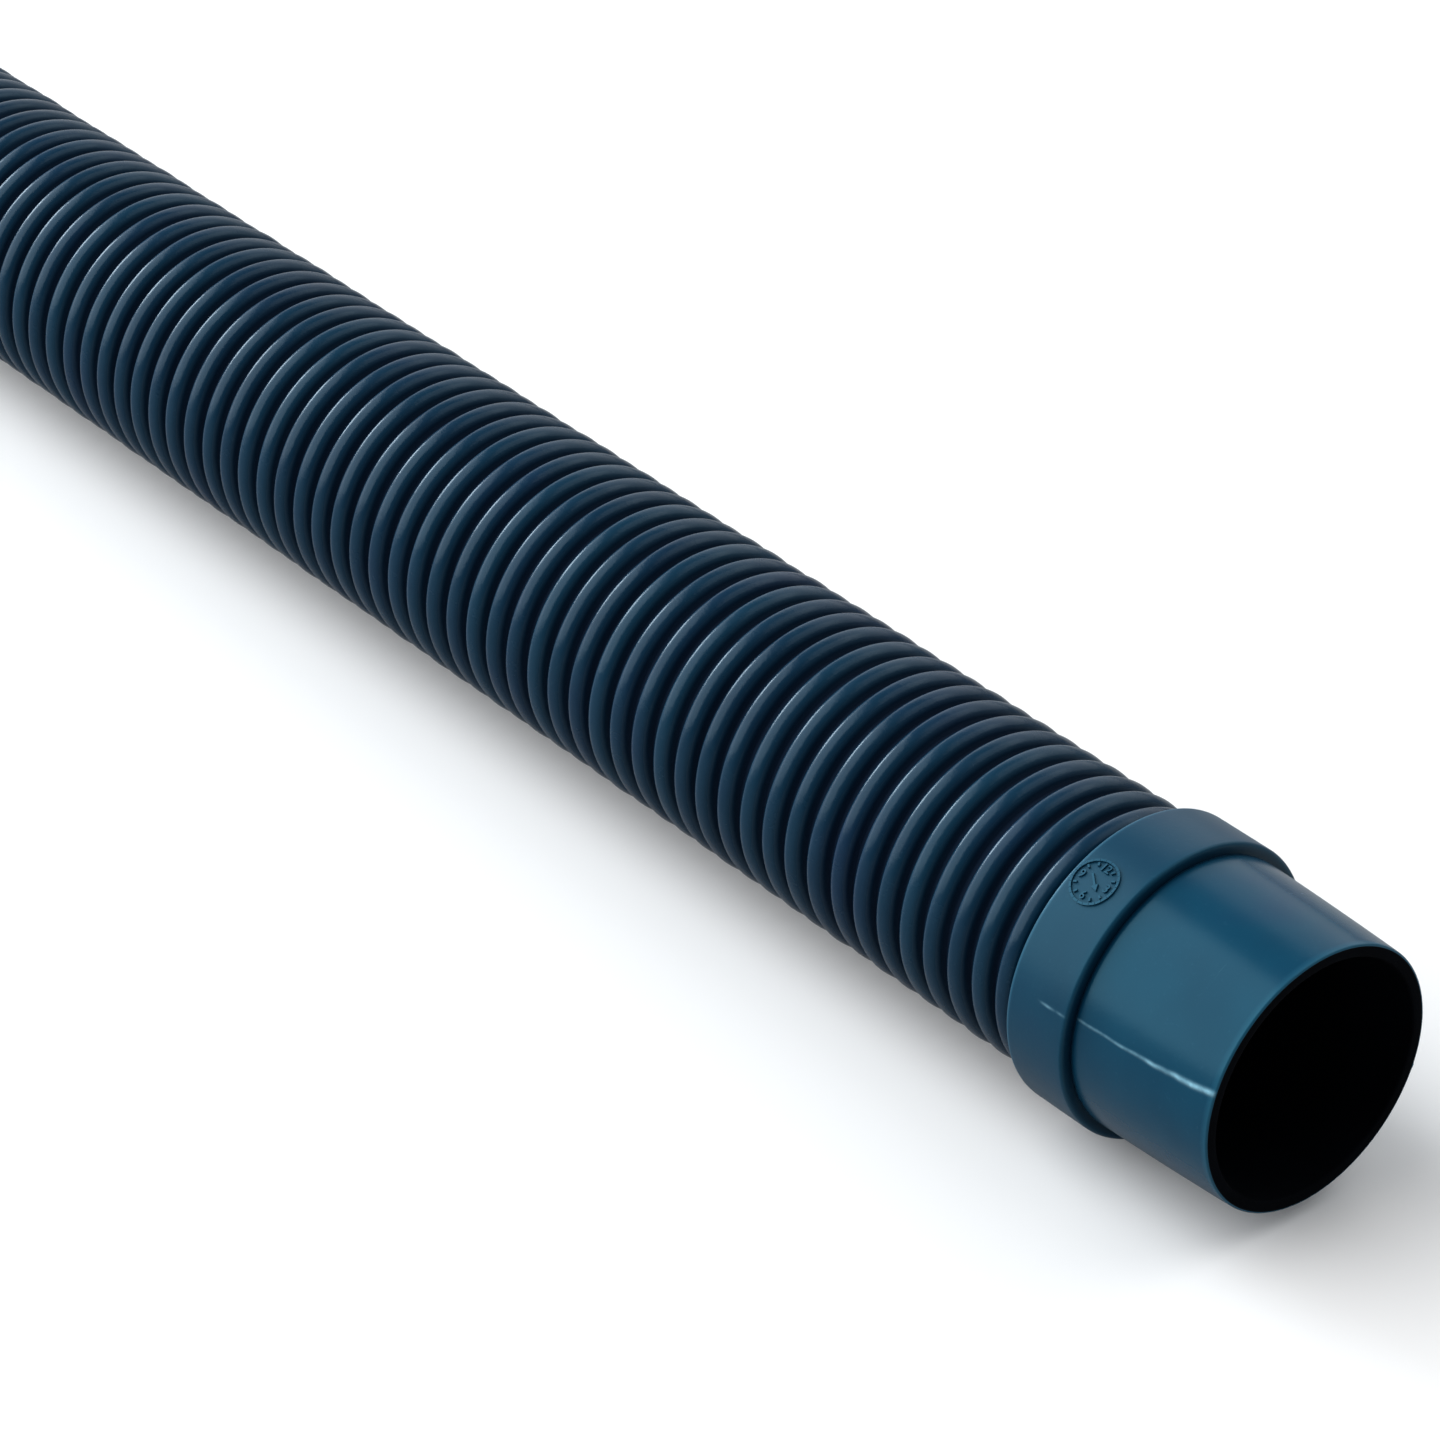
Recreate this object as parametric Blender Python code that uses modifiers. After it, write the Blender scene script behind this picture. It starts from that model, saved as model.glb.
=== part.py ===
"""Pool vacuum hose section with a swivel spigot cuff and a socket cuff.

The hose lies along X on the ground plane z = 0. Its spigot cuff points to +X
and its socket cuff to -X. The origin is under the middle of the hose, on the
ground. Units are metres.

The corrugated hose is one moulding on the real object. Here it is five stiff
sections, joined by four short stretches of wall that bend, so that it can be
posed. Bends 1 and 3 turn about a vertical axis, bends 2 and 4 about a level
one.
"""

import math

import bmesh
import bpy

# ---------------------------------------------------------------- dimensions
MM = 0.001

LENGTH = 1200.0 * MM          # mouth to mouth
MOUTH_X = LENGTH / 2          # spigot mouth at +X, socket mouth at -X
BORE_R = 19.05 * MM           # 38.1 mm bore, the 1.5 in pool size
CREST_R = 21.8 * MM           # outside of the corrugation crests
PLAIN_R = 20.0 * MM           # outside of the hose's plain ends
COLLAR_R = 23.7 * MM          # the largest radius, which rests on the ground
AXIS_Z = COLLAR_R             # height of the hose's axis
GAP = 0.3 * MM                # between pieces that touch

# swivel spigot cuff, measured back from the mouth at +X
SPIGOT_MOUTH_R = 21.1 * MM
SPIGOT_ROOT_R = 22.0 * MM
COLLAR_FRONT = 26.4 * MM
COLLAR_BACK = 38.0 * MM
COLLAR_ROUND = 0.9 * MM
HOSE_STOP = 21.7 * MM         # shoulder that the hose end faces
SEAT_R = 20.45 * MM           # runs over the hose's plain end
SHOULDER = 27.8 * MM          # shoulder that the face seal sits on
CAVITY_R = 22.05 * MM         # bore that turns round the bush
GROOVE_FRONT = 32.5 * MM
GROOVE_BACK = 34.8 * MM
GROOVE_R = 22.85 * MM

# bush on the hose end, its seal and the ring that holds it in
BUSH_BORE_R = 20.45 * MM
BUSH_R = 21.1 * MM
FLANGE_R = 21.7 * MM
BUSH_FRONT = 29.5 * MM
FLANGE_BACK = 32.2 * MM
BUSH_BACK = 37.6 * MM
SEAL_BORE_R = 20.5 * MM
SEAL_R = 21.7 * MM
SEAL_FRONT = 28.1 * MM
SEAL_BACK = 29.2 * MM
RING_BORE_R = 21.4 * MM
RING_R = 22.55 * MM
RING_FRONT = 32.8 * MM
RING_BACK = 34.5 * MM

# hose, measured back from the spigot mouth
HOSE_FRONT = 22.0 * MM        # front of the plain end, inside the cuff
RIBS_FRONT = 39.0 * MM        # corrugation starts behind the collar
RIBS_BACK = 1153.0 * MM       # corrugation ends at the socket cuff
HOSE_BACK = 1169.2 * MM       # back of the other plain end

# socket cuff, measured from its mouth at -X
SOCKET_MOUTH_R = 22.35 * MM
SOCKET_SEAT_R = 20.9 * MM
SOCKET_DEPTH = 28.0 * MM
SOCKET_STOP = 30.5 * MM       # back of the shoulder between socket and hose
SOCKET_LENGTH = 46.0 * MM
SOCKET_BODY = 29.0 * MM       # length at the full radius
SOCKET_NECK_R = 22.8 * MM
HOSE_SEAT_R = 20.3 * MM

BENDS = 4
BEND_HALF = 8.0 * MM          # half length of each stretch that bends
BEND_ANGLE = math.radians(40) # each way, on each bend

SIDES = 24                    # flats round the hose and cuffs, one facing down
FINE_SIDES = 48               # flats round the small rings

PITCH = (RIBS_BACK - RIBS_FRONT) / BENDS


def bend_x(number):
    """World x of bend 1, 2, 3 or 4: the middle of its quarter of the hose."""
    return MOUTH_X - RIBS_FRONT - PITCH * (number - 0.5)


# the flat ends on both sides of a bend clear each other at its full angle
assert (BEND_HALF + GAP) > CREST_R * math.tan(BEND_ANGLE / 2)

# ------------------------------------------------------------------- set-up
for old in list(bpy.data.objects):
    bpy.data.objects.remove(old, do_unlink=True)

parts = bpy.data.collections.new("vacuum_hose")
bpy.context.scene.collection.children.link(parts)


def plastic(name, colour, roughness, metallic=0.0):
    material = bpy.data.materials.new(name)
    material.use_nodes = True
    shader = material.node_tree.nodes["Principled BSDF"]
    shader.inputs["Base Color"].default_value = (*colour, 1.0)
    shader.inputs["Roughness"].default_value = roughness
    shader.inputs["Metallic"].default_value = metallic
    material.diffuse_color = (*colour, 1.0)
    return material


def axis_empty(name, x, parent=None):
    """An empty on the hose's axis at world x, for the pieces of one body."""
    empty = bpy.data.objects.new(name, None)
    empty.empty_display_size = 0.03
    parts.objects.link(empty)
    place(empty, x, parent)
    return empty


def place(obj, x, parent=None):
    """Puts obj on the hose's axis at world x, under parent if it has one."""
    obj["axis_x"] = x
    if parent is None:
        obj.location = (x, 0.0, AXIS_Z)
    else:
        obj.parent = parent
        obj.location = (x - parent["axis_x"], 0.0, 0.0)


def turned(name, outer, inner, material, origin_x, parent=None, sides=SIDES):
    """A ring turned round the hose's axis, with its origin at world x origin_x.

    outer and inner are (distance back from the spigot mouth, radius) points.
    outer runs from the +X end to the -X end, inner the other way. A radius is
    to the middle of a flat.
    """
    across = 1.0 / math.cos(math.pi / sides)
    turn = math.pi / sides
    mesh = bpy.data.meshes.new(name)
    shape = bmesh.new()
    loop = []
    for back, radius in list(outer) + list(inner):
        r = radius * across
        z = (MOUTH_X - back) - origin_x
        loop.append(shape.verts.new((r * math.cos(turn), r * math.sin(turn), z)))
    for a, b in zip(loop, loop[1:] + loop[:1]):
        shape.edges.new((a, b))
    shape.to_mesh(mesh)
    shape.free()
    mesh.materials.append(material)

    obj = bpy.data.objects.new(name, mesh)
    parts.objects.link(obj)
    place(obj, origin_x, parent)
    obj.rotation_euler = (0.0, math.pi / 2, 0.0)

    screw = obj.modifiers.new("turn", "SCREW")
    screw.axis = "Z"
    screw.angle = 2 * math.pi
    screw.steps = sides
    screw.render_steps = sides
    screw.use_merge_vertices = True
    screw.merge_threshold = 0.00001
    screw.use_smooth_shade = True
    return obj


def rounded(x_corner, r_corner, radius, towards_x, towards_r, steps=3):
    """Points of a rounded outer corner, from its x side to its r side."""
    points = []
    for i in range(steps + 1):
        a = (math.pi / 2) * i / steps
        points.append(
            (
                x_corner + towards_x * radius * (1 - math.sin(a)),
                r_corner + towards_r * radius * (1 - math.cos(a)),
            )
        )
    return points


# ---------------------------------------------------------------- materials
def hose_blue(number):
    return plastic("hose_blue_%d" % number, (0.012, 0.045, 0.095), 0.42)


# ------------------------------------------------------------------- bodies
swivel_x = MOUTH_X - (BUSH_FRONT + BUSH_BACK) / 2
swivel = axis_empty("near_cuff_swivel_axis", swivel_x)
bends = []
for number in range(1, BENDS + 1):
    bends.append(
        axis_empty(
            "bend_%d_axis" % number, bend_x(number), bends[-1] if bends else None
        )
    )

# --------------------------------------------------------- swivel spigot cuff
collar_front = [
    (COLLAR_FRONT, SPIGOT_ROOT_R),
    *reversed(rounded(COLLAR_FRONT, COLLAR_R, 0.4 * MM, 1, -1)),
]
collar_back = rounded(COLLAR_BACK, COLLAR_R, COLLAR_ROUND, -1, -1)
turned(
    "near_cuff",
    [
        (0.0, SPIGOT_MOUTH_R - 0.25 * MM),
        (0.25 * MM, SPIGOT_MOUTH_R),
        *collar_front,
        *collar_back,
    ],
    [
        (COLLAR_BACK, CAVITY_R),
        (GROOVE_BACK, CAVITY_R),
        (GROOVE_BACK, GROOVE_R),
        (GROOVE_FRONT, GROOVE_R),
        (GROOVE_FRONT, CAVITY_R),
        (SHOULDER, CAVITY_R),
        (SHOULDER, SEAT_R),
        (HOSE_STOP, SEAT_R),
        (HOSE_STOP, BORE_R),
        (0.3 * MM, BORE_R),
        (0.0, BORE_R + 0.3 * MM),
    ],
    plastic("cuff_blue", (0.015, 0.075, 0.14), 0.28),
    swivel_x,
    swivel,
)

turned(
    "near_seal",
    [(SEAL_FRONT, SEAL_R), (SEAL_BACK, SEAL_R)],
    [(SEAL_BACK, SEAL_BORE_R), (SEAL_FRONT, SEAL_BORE_R)],
    plastic("seal_rubber", (0.015, 0.015, 0.015), 0.7),
    swivel_x,
    swivel,
    FINE_SIDES,
)

turned(
    "near_retaining_ring",
    [(RING_FRONT, RING_R), (RING_BACK, RING_R)],
    [(RING_BACK, RING_BORE_R), (RING_FRONT, RING_BORE_R)],
    plastic("ring_acetal", (0.55, 0.56, 0.55), 0.4),
    swivel_x,
    swivel,
    FINE_SIDES,
)

turned(
    "near_bush",
    [
        (BUSH_FRONT, FLANGE_R),
        (FLANGE_BACK, FLANGE_R),
        (FLANGE_BACK, BUSH_R),
        (BUSH_BACK, BUSH_R),
    ],
    [(BUSH_BACK, BUSH_BORE_R), (BUSH_FRONT, BUSH_BORE_R)],
    plastic("bush_grey", (0.08, 0.09, 0.1), 0.45),
    swivel_x,
    None,
    FINE_SIDES,
)

# ------------------------------------------------------------- hose sections
for number in range(1, BENDS + 2):
    first, last = number == 1, number == BENDS + 1
    front = RIBS_FRONT if first else MOUTH_X - bend_x(number - 1) + BEND_HALF + GAP
    back = RIBS_BACK if last else MOUTH_X - bend_x(number) - BEND_HALF - GAP
    outer = [(front, CREST_R), (back, CREST_R)]
    if first:
        outer = [(HOSE_FRONT, PLAIN_R), (RIBS_FRONT, PLAIN_R)] + outer
        front = HOSE_FRONT
    if last:
        outer = outer + [(RIBS_BACK, PLAIN_R), (HOSE_BACK, PLAIN_R)]
        back = HOSE_BACK
    turned(
        "hose_section_%d" % number,
        outer,
        [(back, BORE_R), (front, BORE_R)],
        hose_blue(number),
        swivel_x if first else bend_x(number - 1),
        None if first else bends[number - 2],
    )

# the short stretches of hose wall that bend; each sits with the section
# in front of it
for number in range(1, BENDS + 1):
    middle = MOUTH_X - bend_x(number)
    turned(
        "hose_bend_%d" % number,
        [(middle - BEND_HALF, CREST_R), (middle + BEND_HALF, CREST_R)],
        [(middle + BEND_HALF, BORE_R), (middle - BEND_HALF, BORE_R)],
        hose_blue(10 + number),
        bend_x(number),
        bends[number - 2] if number > 1 else None,
    )

# --------------------------------------------------------------- socket cuff
far = LENGTH
neck_start = rounded(far - SOCKET_BODY, COLLAR_R, COLLAR_ROUND, 1, -1)
turned(
    "far_cuff",
    [
        (far - SOCKET_LENGTH, SOCKET_NECK_R - 0.6 * MM),
        (far - SOCKET_LENGTH + 0.6 * MM, SOCKET_NECK_R),
        (far - SOCKET_BODY, SOCKET_NECK_R),
        *[p for p in reversed(neck_start) if p[1] > SOCKET_NECK_R + 0.05 * MM],
        (far - 0.2 * MM, COLLAR_R),
        (far, COLLAR_R - 0.2 * MM),
    ],
    [
        (far, SOCKET_MOUTH_R + 0.15 * MM),
        (far - 0.6 * MM, SOCKET_MOUTH_R),
        (far - SOCKET_DEPTH, SOCKET_SEAT_R),
        (far - SOCKET_DEPTH, BORE_R),
        (far - SOCKET_STOP, BORE_R),
        (far - SOCKET_STOP, HOSE_SEAT_R),
        (far - SOCKET_LENGTH, HOSE_SEAT_R),
    ],
    plastic("far_cuff_blue", (0.015, 0.075, 0.14), 0.3),
    bend_x(BENDS),
    bends[-1],
)

bpy.context.view_layer.update()
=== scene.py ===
"""Looks of the pool vacuum hose section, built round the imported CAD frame.

The hose lies along X, its spigot cuff at +X. Distances called back are
measured along the hose from the spigot's mouth. Units are metres.
"""

import math

import bpy
import numpy as np
from mathutils import Matrix, Vector


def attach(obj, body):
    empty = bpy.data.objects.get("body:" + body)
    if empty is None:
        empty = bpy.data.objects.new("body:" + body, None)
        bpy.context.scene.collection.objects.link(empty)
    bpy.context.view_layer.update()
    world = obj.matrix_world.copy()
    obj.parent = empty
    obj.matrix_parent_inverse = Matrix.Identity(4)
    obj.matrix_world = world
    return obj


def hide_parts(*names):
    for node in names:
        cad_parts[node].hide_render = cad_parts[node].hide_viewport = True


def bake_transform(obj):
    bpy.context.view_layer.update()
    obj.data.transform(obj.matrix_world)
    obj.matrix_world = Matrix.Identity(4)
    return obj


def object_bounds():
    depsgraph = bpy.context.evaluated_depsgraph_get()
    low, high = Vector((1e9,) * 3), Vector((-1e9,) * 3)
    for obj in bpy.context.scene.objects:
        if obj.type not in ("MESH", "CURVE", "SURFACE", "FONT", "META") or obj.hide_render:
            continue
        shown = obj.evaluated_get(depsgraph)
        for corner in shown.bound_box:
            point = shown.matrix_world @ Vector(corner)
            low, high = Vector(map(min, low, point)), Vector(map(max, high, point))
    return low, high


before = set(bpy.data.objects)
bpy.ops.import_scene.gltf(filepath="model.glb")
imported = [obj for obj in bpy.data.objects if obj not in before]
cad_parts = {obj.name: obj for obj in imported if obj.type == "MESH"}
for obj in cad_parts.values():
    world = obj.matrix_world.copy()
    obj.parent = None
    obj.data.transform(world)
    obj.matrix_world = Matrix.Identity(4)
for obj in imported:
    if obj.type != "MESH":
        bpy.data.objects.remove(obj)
CAD_LO, CAD_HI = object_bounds()

MM = 0.001
MOUTH_X = CAD_HI.x
LENGTH = CAD_HI.x - CAD_LO.x
AXIS_Z = 23.7 * MM
BORE_R = 19.05 * MM
CREST_R = 21.8 * MM
PLAIN_R = 20.0 * MM
COLLAR_R = 23.7 * MM
HOSE_FRONT = 22.0 * MM
RIBS_FRONT = 39.0 * MM
RIBS_BACK = 1153.0 * MM
HOSE_BACK = 1169.2 * MM
PIECES = 4
RIBS_EACH = 54
PIECE = (RIBS_BACK - RIBS_FRONT) / PIECES
PITCH = PIECE / RIBS_EACH

# -------------------------------------------------------------------- camera
CAM_AZ, CAM_EL = math.radians(50.545), math.radians(33.276)
camera = bpy.data.objects.new("camera", bpy.data.cameras.new("camera"))
bpy.context.scene.collection.objects.link(camera)
camera.location = (MOUTH_X + 0.40453, -0.43986, AXIS_Z + 0.44807)
camera.rotation_euler = (math.pi / 2 - CAM_EL, 0.0, CAM_AZ)
camera.data.sensor_width = 36.0
camera.data.lens = 5349.0 * 36.0 / 1440.0
camera.data.clip_start = 0.05
bpy.context.scene.camera = camera


# ------------------------------------------------------------ material nodes
class Nodes:
    """A short way to write a node tree."""

    def __init__(self, name):
        self.material = bpy.data.materials.new(name)
        self.material.use_nodes = True
        self.tree = self.material.node_tree
        self.shader = self.tree.nodes["Principled BSDF"]
        self.coords = self.tree.nodes.new("ShaderNodeTexCoord").outputs["Object"]

    def add(self, kind, inputs=None, **settings):
        node = self.tree.nodes.new(kind)
        for key, value in settings.items():
            setattr(node, key, value)
        for key, value in (inputs or {}).items():
            if isinstance(value, bpy.types.NodeSocket):
                self.tree.links.new(value, node.inputs[key])
            else:
                node.inputs[key].default_value = value
        return node

    def noise(self, scale, detail=2.0, rough=0.5, stretch=None, distortion=0.0):
        vector = self.coords
        if stretch:
            vector = self.add(
                "ShaderNodeMapping", {"Vector": vector, "Scale": stretch}
            ).outputs["Vector"]
        return self.add(
            "ShaderNodeTexNoise",
            {
                "Vector": vector,
                "Scale": scale,
                "Detail": detail,
                "Roughness": rough,
                "Distortion": distortion,
            },
        ).outputs["Fac"]

    def ramp(self, value, stops):
        node = self.add("ShaderNodeValToRGB", {"Fac": value})
        elements = node.color_ramp.elements
        while len(elements) > len(stops):
            elements.remove(elements[-1])
        while len(elements) < len(stops):
            elements.new(1.0)
        for element, (at, colour) in zip(elements, stops):
            element.position = at
            if not hasattr(colour, "__len__"):
                colour = (colour, colour, colour)
            element.color = (*colour, 1.0)
        return node.outputs["Color"]

    def mix(self, factor, a, b, blend="MIX"):
        node = self.add("ShaderNodeMix", data_type="RGBA", blend_type=blend)
        for slot, value in ((0, factor), (6, a), (7, b)):
            if isinstance(value, bpy.types.NodeSocket):
                self.tree.links.new(value, node.inputs[slot])
            elif slot == 0:
                node.inputs[slot].default_value = value
            else:
                node.inputs[slot].default_value = (*value, 1.0)
        return node.outputs[2]

    def math(self, operation, a, b=0.0, clamp=False):
        node = self.add("ShaderNodeMath", operation=operation, use_clamp=clamp)
        for slot, value in ((0, a), (1, b)):
            if isinstance(value, bpy.types.NodeSocket):
                self.tree.links.new(value, node.inputs[slot])
            else:
                node.inputs[slot].default_value = value
        return node.outputs[0]

    def attribute(self, name):
        return self.add("ShaderNodeAttribute", attribute_name=name).outputs["Fac"]

    def bump(self, layers):
        """layers is a list of (height, distance in metres, strength)."""
        normal = None
        for height, distance, strength in layers:
            node = self.add(
                "ShaderNodeBump",
                {"Height": height, "Distance": distance, "Strength": strength},
            )
            if normal is not None:
                self.tree.links.new(normal, node.inputs["Normal"])
            normal = node.outputs["Normal"]
        self.tree.links.new(normal, self.shader.inputs["Normal"])

    def set(self, **values):
        for key, value in values.items():
            socket = self.shader.inputs[key.replace("_", " ")]
            if isinstance(value, bpy.types.NodeSocket):
                self.tree.links.new(value, socket)
            elif hasattr(value, "__len__") and len(value) == 3:
                socket.default_value = (*value, 1.0)
            else:
                socket.default_value = value
        return self.material


def hose_material():
    n = Nodes("hose_navy")
    rib = n.attribute("rib")  # 0 in a groove, 1 on a crest
    tone = n.attribute("tone")  # each rib's own shade
    cloud = n.noise(38.0, 3.0, 0.55)
    base = n.ramp(
        cloud,
        [
            (0.30, (0.0018, 0.018, 0.046)),
            (0.50, (0.0022, 0.024, 0.053)),
            (0.70, (0.0038, 0.020, 0.055)),
        ],
    )
    base = n.mix(tone, base, (0.0040, 0.034, 0.068))
    speck = n.ramp(n.noise(1500.0, 2.0, 0.6), [(0.60, 0.0), (0.74, 1.0)])
    base = n.mix(n.math("MULTIPLY", speck, 0.20), base, (0.014, 0.048, 0.085))
    # rubbed, slightly chalky crests
    worn = n.math(
        "MULTIPLY",
        n.ramp(rib, [(0.80, 0.0), (1.0, 1.0)]),
        n.ramp(n.noise(120.0, 4.0, 0.6), [(0.42, 0.15), (0.68, 1.0)]),
    )
    base = n.mix(n.math("MULTIPLY", worn, 0.35), base, (0.012, 0.048, 0.090))
    # hardly any light gets to the bottom of a groove
    deep = n.ramp(rib, [(0.10, 1.0), (0.74, 0.0)])
    base = n.mix(n.math("MULTIPLY", deep, 0.90), base, (0.0002, 0.0040, 0.018))
    rough = n.ramp(n.noise(260.0, 3.0, 0.6), [(0.3, 0.19), (0.7, 0.29)])
    rough = n.mix(deep, rough, (0.85, 0.85, 0.85))
    n.bump(
        [
            (n.noise(90.0, 2.0, 0.5), 0.00025, 0.45),
            (n.noise(1100.0, 3.0, 0.6), 0.00006, 0.55),
        ]
    )
    return n.set(
        Base_Color=base,
        Roughness=rough,
        Specular_IOR_Level=0.25,
        Specular_Tint=(0.62, 0.86, 1.0),
        Metallic=0.0,
    )


def cuff_material():
    n = Nodes("cuff_teal")
    matt = n.attribute("matt")  # 1 on the collar, 0 on the polished spigot
    cloud = n.noise(55.0, 2.0, 0.5)
    shiny = n.ramp(
        cloud,
        [
            (0.30, (0.0026, 0.038, 0.080)),
            (0.52, (0.0032, 0.048, 0.095)),
            (0.72, (0.0052, 0.042, 0.091)),
        ],
    )
    satin = n.ramp(
        cloud,
        [
            (0.30, (0.0034, 0.034, 0.071)),
            (0.52, (0.0042, 0.041, 0.082)),
            (0.72, (0.0062, 0.036, 0.078)),
        ],
    )
    base = n.mix(matt, shiny, satin)
    speck = n.ramp(n.noise(1300.0, 2.0, 0.6), [(0.62, 0.0), (0.76, 1.0)])
    base = n.mix(n.math("MULTIPLY", speck, 0.10), base, (0.03, 0.12, 0.19))
    # faint handling scuffs, drawn out round the cuff
    scuff = n.ramp(
        n.noise(70.0, 5.0, 0.7, stretch=(6.0, 0.7, 0.7)), [(0.60, 0.0), (0.72, 1.0)]
    )
    base = n.mix(n.math("MULTIPLY", scuff, 0.03), base, (0.06, 0.15, 0.22))
    # painted highlight: rims, rounded edges and the dial's raised tops are coloured lighter
    edge = n.attribute("edge")
    base = n.mix(n.math("MULTIPLY", edge, 0.5), base, (0.025, 0.125, 0.205))
    # painted highlight: the moulding line is coloured pale, unevenly
    seam = n.math(
        "MULTIPLY",
        n.attribute("seam"),
        n.ramp(n.noise(420.0, 3.0, 0.6), [(0.34, 0.45), (0.62, 1.0)]),
    )
    base = n.mix(seam, base, (0.26, 0.52, 0.66))
    # painted shade: the foot of the collar's front face, and of each raised shape, is coloured near black
    crevice_shade = n.attribute("crevice_shade")
    base = n.mix(n.math("MULTIPLY", crevice_shade, 0.88), base, (0.001, 0.012, 0.030))
    rough = n.mix(matt, (0.24, 0.24, 0.24), (0.36, 0.36, 0.36))
    rough = n.mix(
        n.math("MULTIPLY", scuff, 0.3), rough, (0.42, 0.42, 0.42)
    )
    n.bump(
        [
            (n.noise(60.0, 2.0, 0.5), 0.0003, 0.25),
            (n.noise(1400.0, 2.0, 0.6), 0.00004, 0.30),
        ]
    )
    return n.set(
        Base_Color=base,
        Roughness=rough,
        Specular_IOR_Level=0.26,
        Specular_Tint=(0.34, 0.82, 1.0),
        Metallic=0.0,
    )


def bore_material():
    n = Nodes("bore_shadowed_navy")
    # near black all through: painted shade for the unlit inside, where the plastic is navy
    base = n.ramp(
        n.noise(140.0, 3.0, 0.6),
        [(0.35, (0.0004, 0.0010, 0.0022)), (0.65, (0.0008, 0.0018, 0.0036))],
    )
    n.bump([(n.noise(700.0, 2.0, 0.6), 0.00005, 0.4)])
    return n.set(Base_Color=base, Roughness=0.8, Specular_IOR_Level=0.04)


def plain_material(name, low, high, rough_low, rough_high, scale, depth):
    n = Nodes(name)
    base = n.ramp(n.noise(scale, 4.0, 0.6), [(0.32, low), (0.68, high)])
    rough = n.ramp(
        n.noise(scale * 2.5, 3.0, 0.6), [(0.3, rough_low), (0.7, rough_high)]
    )
    n.bump([(n.noise(scale * 8, 3.0, 0.6), depth, 0.5)])
    return n.set(Base_Color=base, Roughness=rough)


HOSE = hose_material()
CUFF = cuff_material()
BORE = bore_material()
BUSH = plain_material(
    "bush_grey", (0.070, 0.078, 0.085), (0.10, 0.11, 0.12), 0.35, 0.55, 120.0, 0.00005
)
RING = plain_material(
    "ring_acetal", (0.50, 0.51, 0.49), (0.60, 0.60, 0.57), 0.30, 0.45, 90.0, 0.00004
)
SEAL = plain_material(
    "seal_rubber", (0.010, 0.010, 0.011), (0.022, 0.022, 0.023), 0.55, 0.8, 300.0, 0.00006
)


# --------------------------------------------------------------- mesh makers
def lathe(name, rows, sides, materials, slots=None, attributes=None, warp=None):
    """A closed ring turned round the hose's axis.

    rows is a closed loop of (back, radius), running down the outside from the
    spigot's side to the far side and back along the inside. slots gives each
    row's material, and attributes its values for the material. warp moves the
    points: it takes and returns (back, radius) for each row and angle.
    """
    rows = np.array(rows, float)
    count = len(rows)
    angle = np.arange(sides) * (2 * math.pi / sides)
    back = np.repeat(rows[:, :1], sides, axis=1)
    radius = np.repeat(rows[:, 1:2], sides, axis=1)
    if warp is not None:
        back, radius = warp(back, radius, angle[None, :])
    points = np.stack(
        [
            MOUTH_X - back,
            -radius * np.cos(angle),
            AXIS_Z + radius * np.sin(angle),
        ],
        axis=2,
    ).reshape(-1, 3)
    i, j = np.meshgrid(np.arange(count), np.arange(sides), indexing="ij")
    i2, j2 = (i + 1) % count, (j + 1) % sides
    faces = np.stack(
        [i * sides + j, i * sides + j2, i2 * sides + j2, i2 * sides + j], axis=2
    ).reshape(-1, 4)
    mesh = bpy.data.meshes.new(name)
    mesh.from_pydata(points.tolist(), [], faces.tolist())
    for material in materials:
        mesh.materials.append(material)
    if slots is not None:
        mesh.polygons.foreach_set(
            "material_index", np.repeat(np.array(slots, np.int32), sides)
        )
    for key, values in (attributes or {}).items():
        layer = mesh.attributes.new(key, "FLOAT", "POINT")
        layer.data.foreach_set(
            "value", np.repeat(np.array(values, np.float32), sides)
        )
    mesh.update()
    mesh.shade_smooth()
    mesh.set_sharp_from_angle(angle=math.radians(50))
    obj = bpy.data.objects.new(name, mesh)
    bpy.context.scene.collection.objects.link(obj)
    return obj


def arc(centre, radius, start, end, steps):
    """Points of an arc in the (back, radius) plane, angles in degrees."""
    return [
        (
            centre[0] + radius * math.cos(math.radians(a)),
            centre[1] + radius * math.sin(math.radians(a)),
        )
        for a in np.linspace(start, end, steps)
    ]


# ---------------------------------------------------------------------- hose
WALL = 0.62 * MM
GROOVE_DEPTH = 2.2 * MM
CREST_HALF = 1.60 * MM
FRONT_ROUND = 1.62 * MM
REAR_ROUND = 1.12 * MM
CREST_FALL = 0.10 * MM  # each crest is highest towards its rear edge
GROOVE_ROUND = 0.38 * MM
RIB_FORWARD = 0.30 * MM

shake = np.random.RandomState(7)
RIB_TONE = shake.uniform(0.0, 1.0, PIECES * RIBS_EACH) ** 2
RIB_LIFT = shake.uniform(-0.10, 0.02, PIECES * RIBS_EACH) * MM
RIB_SHIFT = shake.uniform(-0.13, 0.13, PIECES * RIBS_EACH) * MM
RIB_PHASE = shake.uniform(0.0, 2 * math.pi, (PIECES * RIBS_EACH, 3))
RIB_WAVE = shake.uniform(0.3, 1.0, (PIECES * RIBS_EACH, 3))


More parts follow.
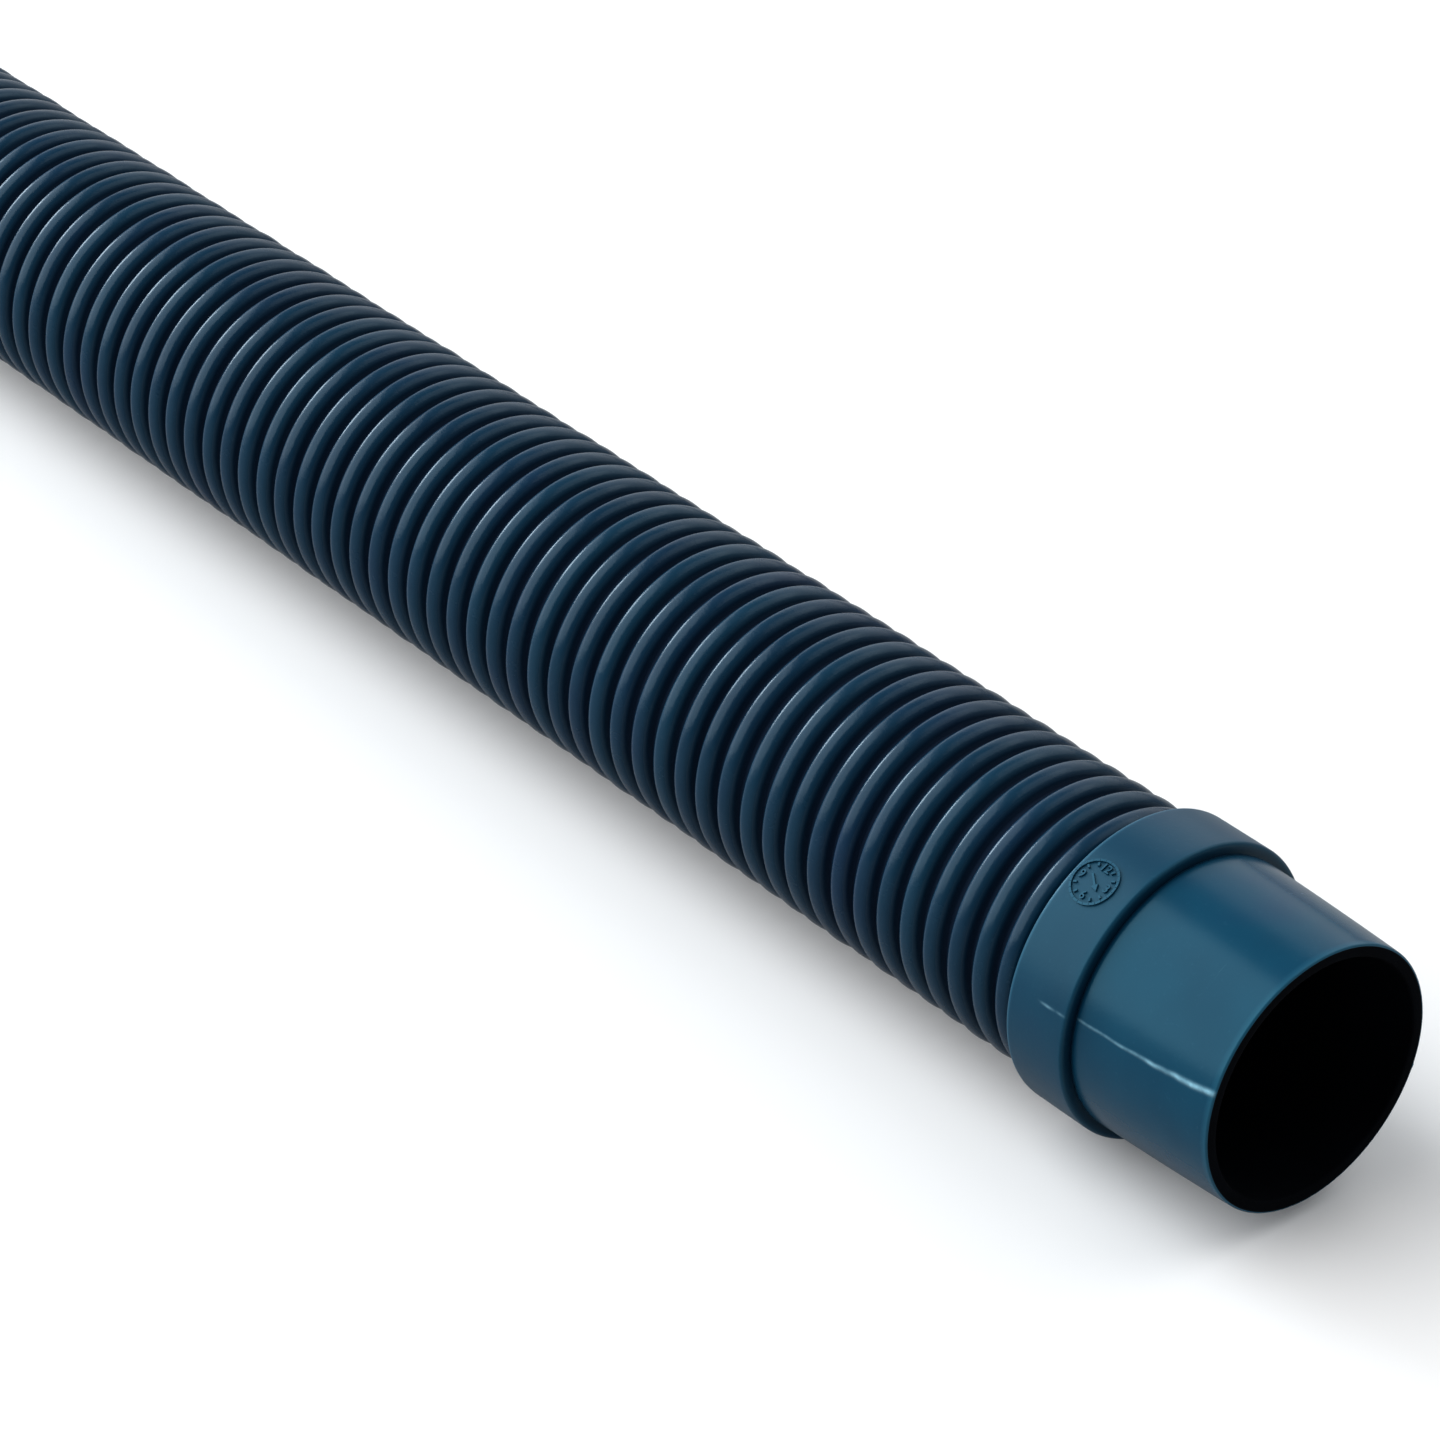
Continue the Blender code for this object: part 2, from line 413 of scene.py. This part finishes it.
def rib_outer(number, fine):
    """(back, radius, height 0..1) down one rib, from groove middle to groove middle."""
    edge = RIBS_FRONT + PITCH * number
    middle = edge + PITCH / 2 - RIB_FORWARD + RIB_SHIFT[number]
    crest = CREST_R + RIB_LIFT[number]
    root = CREST_R - GROOVE_DEPTH
    lean = 0.16 * MM  # each flank leans out a little towards its foot
    tilt = math.degrees(
        math.atan2(CREST_FALL, 2 * CREST_HALF - FRONT_ROUND - REAR_ROUND)
    )
    front = arc(
        (middle - CREST_HALF + FRONT_ROUND, crest - CREST_FALL - FRONT_ROUND),
        FRONT_ROUND,
        176,
        91 + tilt,
        8 if fine else 5,
    )
    rear = arc(
        (middle + CREST_HALF - REAR_ROUND, crest - REAR_ROUND),
        REAR_ROUND,
        89 + tilt,
        4,
        7 if fine else 5,
    )
    foot = arc(
        (middle - CREST_HALF - lean - GROOVE_ROUND, root + GROOVE_ROUND),
        GROOVE_ROUND,
        -90,
        -10,
        4 if fine else 3,
    )
    rear_foot = [(2 * middle - b, r) for b, r in reversed(foot)]
    top = (
        (front[-1][0] + rear[0][0]) / 2,
        (front[-1][1] + rear[0][1]) / 2 + 0.02 * MM,
    )
    points = [(edge, root), *foot, *front, top, *rear, *rear_foot]
    return [(b, r, min(1.0, max(0.0, (r - root) / GROOVE_DEPTH))) for b, r in points]


def rib_wobble(back, radius, angle):
    """Small unevenness of the moulding, different on each rib and none at a groove's middle."""
    number = np.clip(
        np.floor((back - RIBS_FRONT) / PITCH).astype(int), 0, PIECES * RIBS_EACH - 1
    )
    inside = (back > RIBS_FRONT) & (back < RIBS_BACK)
    across = np.sin(np.clip((back - RIBS_FRONT) / PITCH - number, 0, 1) * math.pi)
    height = np.clip((radius - (CREST_R - GROOVE_DEPTH)) / GROOVE_DEPTH, -0.4, 1)
    share = np.where(inside, across, 0.0)
    push = np.zeros_like(back + angle)
    slide = np.zeros_like(push)
    for k, turns in enumerate((1, 2, 5)):
        wave = np.sin(turns * angle + RIB_PHASE[number, k]) * RIB_WAVE[number, k]
        push = push + wave * (0.045, 0.035, 0.016)[k] * MM
        slide = slide + np.roll(wave, 3, axis=-1) * (0.07, 0.05, 0.02)[k] * MM
    # never proud of the crest circle by more than the CAD tube allows
    push = np.minimum(push, 0.02 * MM)
    return (
        back + slide * share,
        radius + push * share * np.maximum(height, 0.0),
    )


def hose_piece(index):
    """One quarter of the hose: a thin corrugated wall, closed at both ends."""
    fine = index == 0
    first, last = index == 0, index == PIECES - 1
    outer, heights, tones = [], [], []
    if first:
        for b, r in (
            (HOSE_FRONT, PLAIN_R - 0.25 * MM),
            (HOSE_FRONT + 0.25 * MM, PLAIN_R),
            (RIBS_FRONT - 0.3 * MM, PLAIN_R),
        ):
            outer.append((b, r))
            heights.append(0.1)
            tones.append(0.0)
    for number in range(index * RIBS_EACH, (index + 1) * RIBS_EACH):
        points = rib_outer(number, fine)
        for b, r, h in points:
            outer.append((b, r))
            heights.append(h)
            tones.append(RIB_TONE[number] * 0.8)
    outer.append((RIBS_FRONT + PITCH * (index + 1) * RIBS_EACH, CREST_R - GROOVE_DEPTH))
    heights.append(0.0)
    tones.append(0.0)
    if last:
        for b, r in (
            (RIBS_BACK + 0.3 * MM, PLAIN_R),
            (HOSE_BACK - 0.25 * MM, PLAIN_R),
            (HOSE_BACK, PLAIN_R - 0.25 * MM),
        ):
            outer.append((b, r))
            heights.append(0.1)
            tones.append(0.0)
    inner = []
    if last:
        inner += [(HOSE_BACK, BORE_R), (RIBS_BACK + 0.2 * MM, BORE_R)]
    root = CREST_R - GROOVE_DEPTH - WALL + 0.1 * MM
    for number in reversed(range(index * RIBS_EACH, (index + 1) * RIBS_EACH)):
        edge = RIBS_FRONT + PITCH * number
        middle = edge + PITCH / 2 - RIB_FORWARD
        half = CREST_HALF - WALL
        if number == (index + 1) * RIBS_EACH - 1:
            inner.append((edge + PITCH, root))
        inner += [
            (middle + half + 0.25 * MM, root + 0.1 * MM),
            (middle + half, CREST_R - WALL - 0.35 * MM),
            (middle, CREST_R - WALL - 0.12 * MM),
            (middle - half, CREST_R - WALL - 0.35 * MM),
            (middle - half - 0.25 * MM, root + 0.1 * MM),
            (edge, root),
        ]
    if first:
        inner += [(RIBS_FRONT - 0.2 * MM, BORE_R), (HOSE_FRONT, BORE_R)]
    rows = outer + inner
    # the inside wall takes the bore colour, which is painted shade
    slots = [0] * (len(outer) - 1) + [1] * (len(inner) + 1)
    obj = lathe(
        "hose_corrugated_%d" % (index + 1),
        rows,
        120 if fine else 80,
        [HOSE, BORE],
        slots,
        {
            "rib": heights + [0.0] * len(inner),
            "tone": tones + [0.0] * len(inner),
        },
        rib_wobble,
    )
    ends = (
        HOSE_FRONT if first else RIBS_FRONT + PIECE * index,
        HOSE_BACK if last else RIBS_FRONT + PIECE * (index + 1),
    )
    return obj, ends


hose = []
for index in range(PIECES):
    piece, (front, back) = hose_piece(index)
    hose.append(piece)
    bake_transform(piece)
    stood_for = ["hose_section_%d" % (index + 1), "hose_bend_%d" % (index + 1)]
    if index == PIECES - 1:
        stood_for.append("hose_section_5")
    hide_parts(*stood_for)

# ----------------------------------------------------------------- near cuff
COLLAR_FRONT, COLLAR_BACK = 26.4 * MM, 38.0 * MM


def near_cuff_rows():
    """(back, radius, matt, edge, crevice, slot) round the spigot cuff's section."""
    rows = []

    def add(points, matt, edge=0.0, crevice_shade=0.0, slot=0):
        rows.extend((b, r, matt, edge, crevice_shade, slot) for b, r in points)

    mouth_r = 21.1 * MM
    root_r = 22.0 * MM
    # the mouth's rounded rim carries a thin painted highlight
    add(arc((0.34 * MM, mouth_r - 0.34 * MM), 0.34 * MM, 180, 98, 6), 0.0, 1.0)
    # the spigot tapers with a very slight swell in the middle
    steps = 34
    for k in range(1, steps):
        t = k / steps
        b = 0.45 * MM + (COLLAR_FRONT - 0.55 * MM) * t
        r = mouth_r + (root_r - mouth_r) * (b / COLLAR_FRONT)
        r += 0.08 * MM * math.sin(math.pi * t)
        # painted shade starts on the last rows before the collar
        add([(b, r)], 0.0, 0.0, 0.0 if t < 0.97 else 0.3)
    # a hair-fine undercut where the spigot meets the collar's front face, in full painted shade
    add(
        [
            (COLLAR_FRONT - 0.16 * MM, root_r - 0.02 * MM),
            (COLLAR_FRONT - 0.03 * MM, root_r - 0.14 * MM),
            (COLLAR_FRONT + 0.02 * MM, root_r + 0.06 * MM),
        ],
        0.3,
        0.0,
        1.0,
    )
    # the collar's front face, its painted shade fading out upwards from the foot
    add([(COLLAR_FRONT + 0.03 * MM, root_r + 0.45 * MM)], 0.8, 0.0, 0.7)
    add([(COLLAR_FRONT + 0.05 * MM, COLLAR_R - 0.80 * MM)], 0.9, 0.0, 0.25)
    add(
        arc((COLLAR_FRONT + 0.64 * MM, COLLAR_R - 0.60 * MM), 0.58 * MM, 176, 92, 7),
        1.0,
        0.15,
    )
    for k in range(1, 13):
        b = COLLAR_FRONT + 0.75 * MM + (9.6 * MM) * k / 12
        add([(b, COLLAR_R - 0.02 * MM)], 1.0)
    add([(COLLAR_BACK - 0.75 * MM, COLLAR_R - 0.02 * MM)], 1.0)
    # the collar's rear edge is coloured lighter, a painted highlight
    add(
        arc((COLLAR_BACK - 0.52 * MM, COLLAR_R - 0.55 * MM), 0.52 * MM, 92, 0, 8),
        1.0,
        0.8,
    )
    # inside: the cavity that turns on the bush, with the ring's groove, in the near-black bore colour that is
    # painted shade
    for b, r in (
        (38.0, 22.3),
        (37.75, 22.05),
        (34.8, 22.05),
        (34.8, 22.85),
        (32.5, 22.85),
        (32.5, 22.05),
        (27.8, 22.05),
        (27.8, 20.45),
        (21.7, 20.45),
        (21.7, 19.05),
    ):
        add([(b * MM, r * MM)], 1.0, 0.0, 0.0, 1)
    for b in (18.0, 14.0, 10.0, 6.0, 3.0, 1.2, 0.6):
        add([(b * MM, BORE_R)], 0.0, 0.0, 0.0, 1)
    add(arc((0.3 * MM, BORE_R + 0.3 * MM), 0.3 * MM, 270, 182, 4), 0.0, 0.0, 0.0, 1)
    # painted shade: the mouth's face takes the near-black bore colour, beside the painted highlight on its
    # thin rim
    add([(0.0, BORE_R + 0.9 * MM), (0.0, mouth_r - 0.50 * MM)], 0.0, 0.0, 0.0, 1)
    return rows


SEAM = math.radians(15.0)


def seam_twist(back):
    """How far round the moulding line has wandered at a distance back."""
    t = np.clip(1.0 - back / (26.0 * MM), 0.0, 1.0)
    b = back / MM
    return (
        math.radians(4.3) * t**2.2
        + 0.0022 * np.sin(b * 0.95 + 0.6)
        + 0.0022 * np.sin(b * 2.6 + 1.1) * np.exp(-(((b - 9.0) / 3.0) ** 2))
    )


def near_seam(back, radius, angle):
    """Two fine mould lines, opposite each other; the mesh's columns follow them."""
    b = back / MM
    across = np.zeros_like(angle * radius)
    for at in (SEAM, SEAM + math.pi):
        off = np.angle(np.exp(1j * (angle - at))) * radius
        wide = (0.20 + 0.17 * np.clip(1.3 - b / 14.0, 0.0, 1.0)) * MM
        across = np.maximum(across, np.exp(-((off / wide) ** 2)))
    outside = (radius > 20.9 * MM) & (b < 36.4)
    on_spigot = b < COLLAR_FRONT / MM - 0.4
    # the ridge and its painted highlight are heaviest near the mouth, fading to a few touches on the collar
    along = 0.42 + 0.58 * np.clip(1.25 - b / 13.0, 0.0, 1.0)
    along = along * (0.8 + 0.2 * np.sin(b * 1.7 + 0.4) * np.sin(b * 0.61))
    touches = np.exp(-(((b - 27.6) / 0.5) ** 2)) + 0.75 * np.exp(
        -(((b - 30.4) / 1.1) ** 2)
    )
    strength = np.where(on_spigot, along, 0.5 * touches)
    strength = np.where(outside, strength, 0.0)
    lift = np.where(on_spigot, 0.17, 0.05) * strength * across * MM
    # seam is the painted highlight laid along the mould lines
    return back, radius + lift, angle + seam_twist(back), {"seam": np.clip(across * strength * 1.25, 0.0, 1.0)}


def cuff_angles(sides, dense_at, dense_half, dense_count):
    """Angles round a cuff, closer together near the given ones."""
    angles = list(np.arange(sides) * (2 * math.pi / sides))
    for at in dense_at:
        angles = [
            a for a in angles if abs(math.remainder(a - at, 2 * math.pi)) > dense_half
        ]
        angles += list(at + np.linspace(-dense_half, dense_half, dense_count))
    return np.array(sorted(a % (2 * math.pi) for a in angles))


def turned_piece(name, rows, angles, materials, warp):
    """A closed ring with rows of (back, radius, matt, edge, crevice, slot).

    warp takes and returns (back, radius, angle) at each point, and adds a
    dictionary of values for the material.
    """
    count, sides = len(rows), len(angles)
    table = np.array([r[:5] for r in rows], float)
    shape = (count, sides)
    back, radius, angle, extra = warp(
        np.broadcast_to(table[:, :1], shape),
        np.broadcast_to(table[:, 1:2], shape),
        np.broadcast_to(angles[None, :], shape),
    )
    points = np.stack(
        [
            MOUTH_X - back,
            -radius * np.cos(angle),
            AXIS_Z + radius * np.sin(angle),
        ],
        axis=2,
    ).reshape(-1, 3)
    i, j = np.meshgrid(np.arange(count), np.arange(sides), indexing="ij")
    i2, j2 = (i + 1) % count, (j + 1) % sides
    faces = np.stack(
        [i * sides + j, i * sides + j2, i2 * sides + j2, i2 * sides + j], axis=2
    ).reshape(-1, 4)
    mesh = bpy.data.meshes.new(name)
    mesh.from_pydata(points.tolist(), [], faces.tolist())
    for material in materials:
        mesh.materials.append(material)
    mesh.polygons.foreach_set(
        "material_index",
        np.repeat(np.array([r[5] for r in rows], np.int32), sides),
    )
    values = {
        "matt": np.repeat(table[:, 2], sides),
        "edge": np.repeat(table[:, 3], sides),
        "crevice_shade": np.repeat(table[:, 4], sides),
    }
    for key, value in extra.items():
        values[key] = value.reshape(-1)
    for key, value in values.items():
        layer = mesh.attributes.new(key, "FLOAT", "POINT")
        layer.data.foreach_set("value", np.ascontiguousarray(value, np.float32))
    mesh.update()
    mesh.shade_smooth()
    mesh.set_sharp_from_angle(angle=math.radians(55))
    obj = bpy.data.objects.new(name, mesh)
    bpy.context.scene.collection.objects.link(obj)
    return obj


near_cuff = turned_piece(
    "near_cuff_moulding",
    near_cuff_rows(),
    cuff_angles(160, (SEAM, SEAM + math.pi), math.radians(3.2), 41),
    [CUFF, BORE],
    near_seam,
)
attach(near_cuff, "near_cuff")
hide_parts("near_cuff")


# ----------------------------------------------------- mould dial on the collar
def on_collar(points, back, angle, radius):
    """Wraps flat points (u round, v along the hose, h out) on the cuff."""
    out = []
    for u, v, h in points:
        a = angle + u / radius
        r = radius + h
        out.append((MOUTH_X - back + v, -r * math.cos(a), AXIS_Z + r * math.sin(a)))
    return out


def relief(name, shapes, back, angle, radius, material):
    """One mesh of raised shapes: each is (outline points, height), a closed outline."""
    verts, faces = [], []
    for outline, low, high in shapes:
        n = len(outline)
        base = len(verts)
        for h in (low, high):
            inset = 0.0 if h == low else 0.04 * MM
            cu = sum(p[0] for p in outline) / n
            cv = sum(p[1] for p in outline) / n
            for u, v in outline:
                d = math.hypot(u - cu, v - cv) or 1.0
                k = max(0.0, 1 - inset / d)
                verts.append((cu + (u - cu) * k, cv + (v - cv) * k, h))
        faces.append([base + n + i for i in range(n)])
        faces.append([base + i for i in reversed(range(n))])
        for i in range(n):
            j = (i + 1) % n
            faces.append([base + i, base + j, base + n + j, base + n + i])
    mesh = bpy.data.meshes.new(name)
    mesh.from_pydata(on_collar(verts, back, angle, radius), [], faces)
    mesh.materials.append(material)
    heights = np.array([v[2] for v in verts], np.float32)
    low, high = heights.min(), heights.max()
    # painted shade at the foot of each raised shape, painted highlight on its top
    up = (heights - low) / (high - low)
    for key, values in (
        ("matt", np.ones_like(up)),
        ("edge", 0.6 * up),
        ("crevice_shade", 1.0 - up),
    ):
        layer = mesh.attributes.new(key, "FLOAT", "POINT")
        layer.data.foreach_set("value", np.ascontiguousarray(values, np.float32))
    mesh.update()
    obj = bpy.data.objects.new(name, mesh)
    bpy.context.scene.collection.objects.link(obj)
    return obj


def band(radius, width, start, end, steps):
    """Outline of a flat arc band."""
    angles = np.linspace(math.radians(start), math.radians(end), steps)
    out = [(math.cos(a) * (radius + width / 2), math.sin(a) * (radius + width / 2)) for a in angles]
    out += [(math.cos(a) * (radius - width / 2), math.sin(a) * (radius - width / 2)) for a in reversed(angles)]
    return out


DIAL_BACK, DIAL_ANGLE, DIAL_R = 33.55 * MM, math.radians(60.2), 3.62 * MM
shapes = []
LOW, HIGH = -0.15 * MM, 0.30 * MM
for k in range(24):  # the ring, in short flat-sided bands so that it wraps well
    a0 = 15 * k
    shapes.append((band(DIAL_R, 0.42 * MM, a0, a0 + 15.2, 3), LOW, HIGH))
for k in range(12):  # ticks between the numbers
    if k % 3:
        a = math.radians(30 * k)
        d = (math.cos(a), math.sin(a))
        s = (-d[1], d[0])
        r0, r1, w = 2.58 * MM, 3.20 * MM, 0.16 * MM
        shapes.append(
            (
                [
                    (d[0] * r + s[0] * q, d[1] * r + s[1] * q)
                    for r, q in ((r0, -w), (r1, -w), (r1, w), (r0, w))
                ],
                LOW,
                HIGH,
            )
        )
# the pointer in the middle
tip = math.radians(128)
d, s = (math.cos(tip), math.sin(tip)), (-math.sin(tip), math.cos(tip))


def along(r, q):
    return (d[0] * r + s[0] * q, d[1] * r + s[1] * q)


shapes.append(
    (
        [along(-1.5 * MM, -0.16 * MM), along(0.7 * MM, -0.16 * MM), along(0.7 * MM, 0.16 * MM), along(-1.5 * MM, 0.16 * MM)],
        LOW,
        HIGH,
    )
)
shapes.append(
    (
        [along(0.65 * MM, -0.55 * MM), along(1.75 * MM, 0.0), along(0.65 * MM, 0.55 * MM)],
        LOW,
        HIGH,
    )
)
# outlines run anticlockwise as seen from outside
for k, (outline, low, high) in enumerate(shapes):
    area = sum(
        outline[i][0] * outline[(i + 1) % len(outline)][1]
        - outline[(i + 1) % len(outline)][0] * outline[i][1]
        for i in range(len(outline))
    )
    if area > 0:
        shapes[k] = (outline[::-1], low, high)
dial = relief("near_cuff_dial", shapes, DIAL_BACK, DIAL_ANGLE, COLLAR_R - 0.02 * MM, CUFF)
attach(dial, "near_cuff")

for k, word in enumerate(("12", "3", "6", "9")):
    curve = bpy.data.curves.new("dial_number_" + word, "FONT")
    curve.body = word
    curve.size = 1.85 * MM
    curve.align_x, curve.align_y = "CENTER", "CENTER"
    curve.extrude = 0.26 * MM
    curve.offset = 0.02 * MM
    curve.resolution_u = 3
    made = bpy.data.objects.new("dial_text", curve)
    bpy.context.scene.collection.objects.link(made)
    bpy.context.view_layer.update()
    flat = bpy.data.meshes.new_from_object(
        made.evaluated_get(bpy.context.evaluated_depsgraph_get())
    )
    bpy.data.objects.remove(made)
    where = math.radians(90 - 90 * k)
    # u runs round the cuff, upwards; v runs along it, towards the mouth
    cu, cv = 2.48 * MM * math.sin(where), 2.48 * MM * math.cos(where)
    points = [(cu + v.co.y, cv + v.co.x, v.co.z) for v in flat.vertices]
    for v, p in zip(
        flat.vertices,
        on_collar(points, DIAL_BACK, DIAL_ANGLE, COLLAR_R - 0.0 * MM),
    ):
        v.co = p
    flat.materials.clear()
    flat.materials.append(CUFF)
    # the numbers get a painted highlight on top and painted shade at their foot
    up = np.array([p[2] > 0 for p in points], np.float32)
    for key, values in (
        ("matt", np.ones_like(up)),
        ("edge", 0.6 * up),
        ("crevice_shade", 1.0 - up),
    ):
        layer = flat.attributes.new(key, "FLOAT", "POINT")
        layer.data.foreach_set("value", np.ascontiguousarray(values, np.float32))
    number = bpy.data.objects.new("near_cuff_dial_" + word, flat)
    bpy.context.scene.collection.objects.link(number)
    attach(number, "near_cuff")


# ------------------------------------------------------------------ far cuff
def far_cuff_rows():
    rows = []

    def add(points, matt, edge=0.0, slot=0, crevice_shade=0.0):
        rows.extend((b, r, matt, edge, crevice_shade, slot) for b, r in points)

    far = LENGTH
    neck_front = far - 46.0 * MM
    body_front = far - 29.0 * MM
    neck_r = 22.8 * MM
    # the edge values on this cuff's rims are painted highlights
    add(arc((neck_front + 0.6 * MM, neck_r - 0.6 * MM), 0.6 * MM, 180, 95, 6), 1.0, 0.8)
    for k in range(1, 7):
        add([(neck_front + 1.0 * MM + 14.6 * MM * k / 6, neck_r)], 1.0)
    add([(body_front - 0.35 * MM, neck_r - 0.15 * MM), (body_front, neck_r - 0.12 * MM)], 1.0)
    add(arc((body_front + 0.8 * MM, COLLAR_R - 0.8 * MM), 0.8 * MM, 178, 93, 6), 0.8, 0.3)
    for k in range(1, 12):
        add([(body_front + 1.0 * MM + 24.6 * MM * k / 11, COLLAR_R - 0.02 * MM)], 0.25)
    g = far - 2.6 * MM
    add(
        [
            (g - 0.2 * MM, COLLAR_R - 0.04 * MM),
            (g, COLLAR_R - 0.30 * MM),
            (g + 0.25 * MM, COLLAR_R - 0.30 * MM),
            (g + 0.45 * MM, COLLAR_R - 0.04 * MM),
        ],
        0.6,
    )
    add(arc((far - 0.7 * MM, COLLAR_R - 0.7 * MM), 0.7 * MM, 95, 0, 6), 0.3, 0.7)
    add([(far, 22.75 * MM), (far - 0.15 * MM, 22.55 * MM), (far - 0.7 * MM, 22.35 * MM)], 0.3, 0.7)
    for k in range(1, 9):
        b = 0.7 + (28.0 - 0.7) * k / 8
        add([(far - b * MM, (22.35 - (22.35 - 20.9) * (b - 0.6) / 27.4) * MM)], 0.3, 0.0, 1)
    for b, r in ((28.0, 19.05), (30.5, 19.05), (30.5, 20.3), (45.7, 20.3), (46.0, 20.6)):
        add([(far - b * MM, r * MM)], 1.0, 0.0, 1)
    return rows


def far_parting(back, radius, angle):
    across = np.zeros_like(angle * radius)
    for at in (SEAM, SEAM + math.pi):
        off = np.angle(np.exp(1j * (angle - at))) * radius
        across = np.maximum(across, np.exp(-((off / (0.22 * MM)) ** 2)))
    across = np.where(radius > 22.7 * MM, across, 0.0)
    # seam gives a faint painted highlight along each mould line
    return back, radius + across * 0.04 * MM, angle, {"seam": across * 0.2}


far_cuff = turned_piece(
    "far_cuff_moulding",
    far_cuff_rows(),
    cuff_angles(140, (SEAM, SEAM + math.pi), math.radians(3.0), 31),
    [CUFF, BORE],
    far_parting,
)
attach(far_cuff, "hose_5")
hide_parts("far_cuff")

# ----------------------------------------------------- CAD pieces that stay
for node, material in (
    ("near_bush", BUSH),
    ("near_retaining_ring", RING),
    ("near_seal", SEAL),
):
    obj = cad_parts[node]
    if not obj.material_slots:
        obj.data.materials.append(material)
    for slot in obj.material_slots:
        slot.material = material

# ------------------------------------------------------------ floor and light
size = 6.0
floor_mesh = bpy.data.meshes.new("floor")
floor_mesh.from_pydata(
    [(-size, -size, 0), (size, -size, 0), (size, size, 0), (-size, size, 0)],
    [],
    [(0, 1, 2, 3)],
)
floor = bpy.data.objects.new("floor", floor_mesh)
floor.location.z = -0.0002
bpy.context.scene.collection.objects.link(floor)
pale = Nodes("floor_white")
pale.bump([(pale.noise(900.0, 2.0, 0.5), 0.00002, 0.2)])
# the white sheet throws little light back up, as if a dark card lay by the hose
seen = pale.add("ShaderNodeLightPath").outputs["Is Camera Ray"]
pale_colour = pale.mix(seen, (0.42, 0.42, 0.42), (0.96, 0.96, 0.96))
floor_mesh.materials.append(
    pale.set(Base_Color=pale_colour, Roughness=0.85, Specular_IOR_Level=0.2)
)


def area(name, at, towards, width, height, power, colour=(1, 1, 1)):
    light = bpy.data.lights.new(name, "AREA")
    light.shape = "RECTANGLE"
    light.size, light.size_y = width, height
    light.energy = power
    light.color = colour
    obj = bpy.data.objects.new(name, light)
    obj.location = at
    # width lies along the hose, height round it
    out = (Vector(at) - Vector(towards)).normalized()
    along = (Vector((1, 0, 0)) - out * out.x).normalized()
    around = out.cross(along)
    obj.rotation_euler = (
        Matrix((along, around, out)).transposed().to_euler()
    )
    obj.visible_camera = False
    bpy.context.scene.collection.objects.link(obj)
    return obj


near = Vector((MOUTH_X - 0.10, 0.0, AXIS_Z))
area("key", near + 2.6 * Vector((-0.62, -0.55, 0.60)), near, 4.2, 4.0, 140.0)
area("top", near + 2.6 * Vector((0.22, 0.52, 0.82)), near, 2.2, 2.0, 14.0)
area("back", near + 2.6 * Vector((-0.36, 0.79, 0.49)), near, 5.4, 2.0, 30.0)
area("rim", near + 2.3 * Vector((-0.93, -0.10, 0.32)), near, 1.0, 0.66, 24.0, (0.80, 0.92, 1.0))

# a dim even surround; the backdrop itself is pale
world = bpy.data.worlds.new("studio")
bpy.context.scene.world = world
world.use_nodes = True
world_nodes, world_links = world.node_tree.nodes, world.node_tree.links
backdrop = world_nodes["Background"]
backdrop.inputs["Color"].default_value = (0.93, 0.95, 0.97, 1)
backdrop.inputs["Strength"].default_value = 0.95
surround = world_nodes.new("ShaderNodeBackground")
surround.inputs["Color"].default_value = (0.90, 0.95, 1.0, 1)
surround.inputs["Strength"].default_value = 0.24
path = world_nodes.new("ShaderNodeLightPath")
either = world_nodes.new("ShaderNodeMixShader")
world_links.new(path.outputs["Is Camera Ray"], either.inputs[0])
world_links.new(surround.outputs[0], either.inputs[1])
world_links.new(backdrop.outputs[0], either.inputs[2])
world_links.new(either.outputs[0], world_nodes["World Output"].inputs["Surface"])
bpy.context.scene.view_settings.view_transform = "Standard"
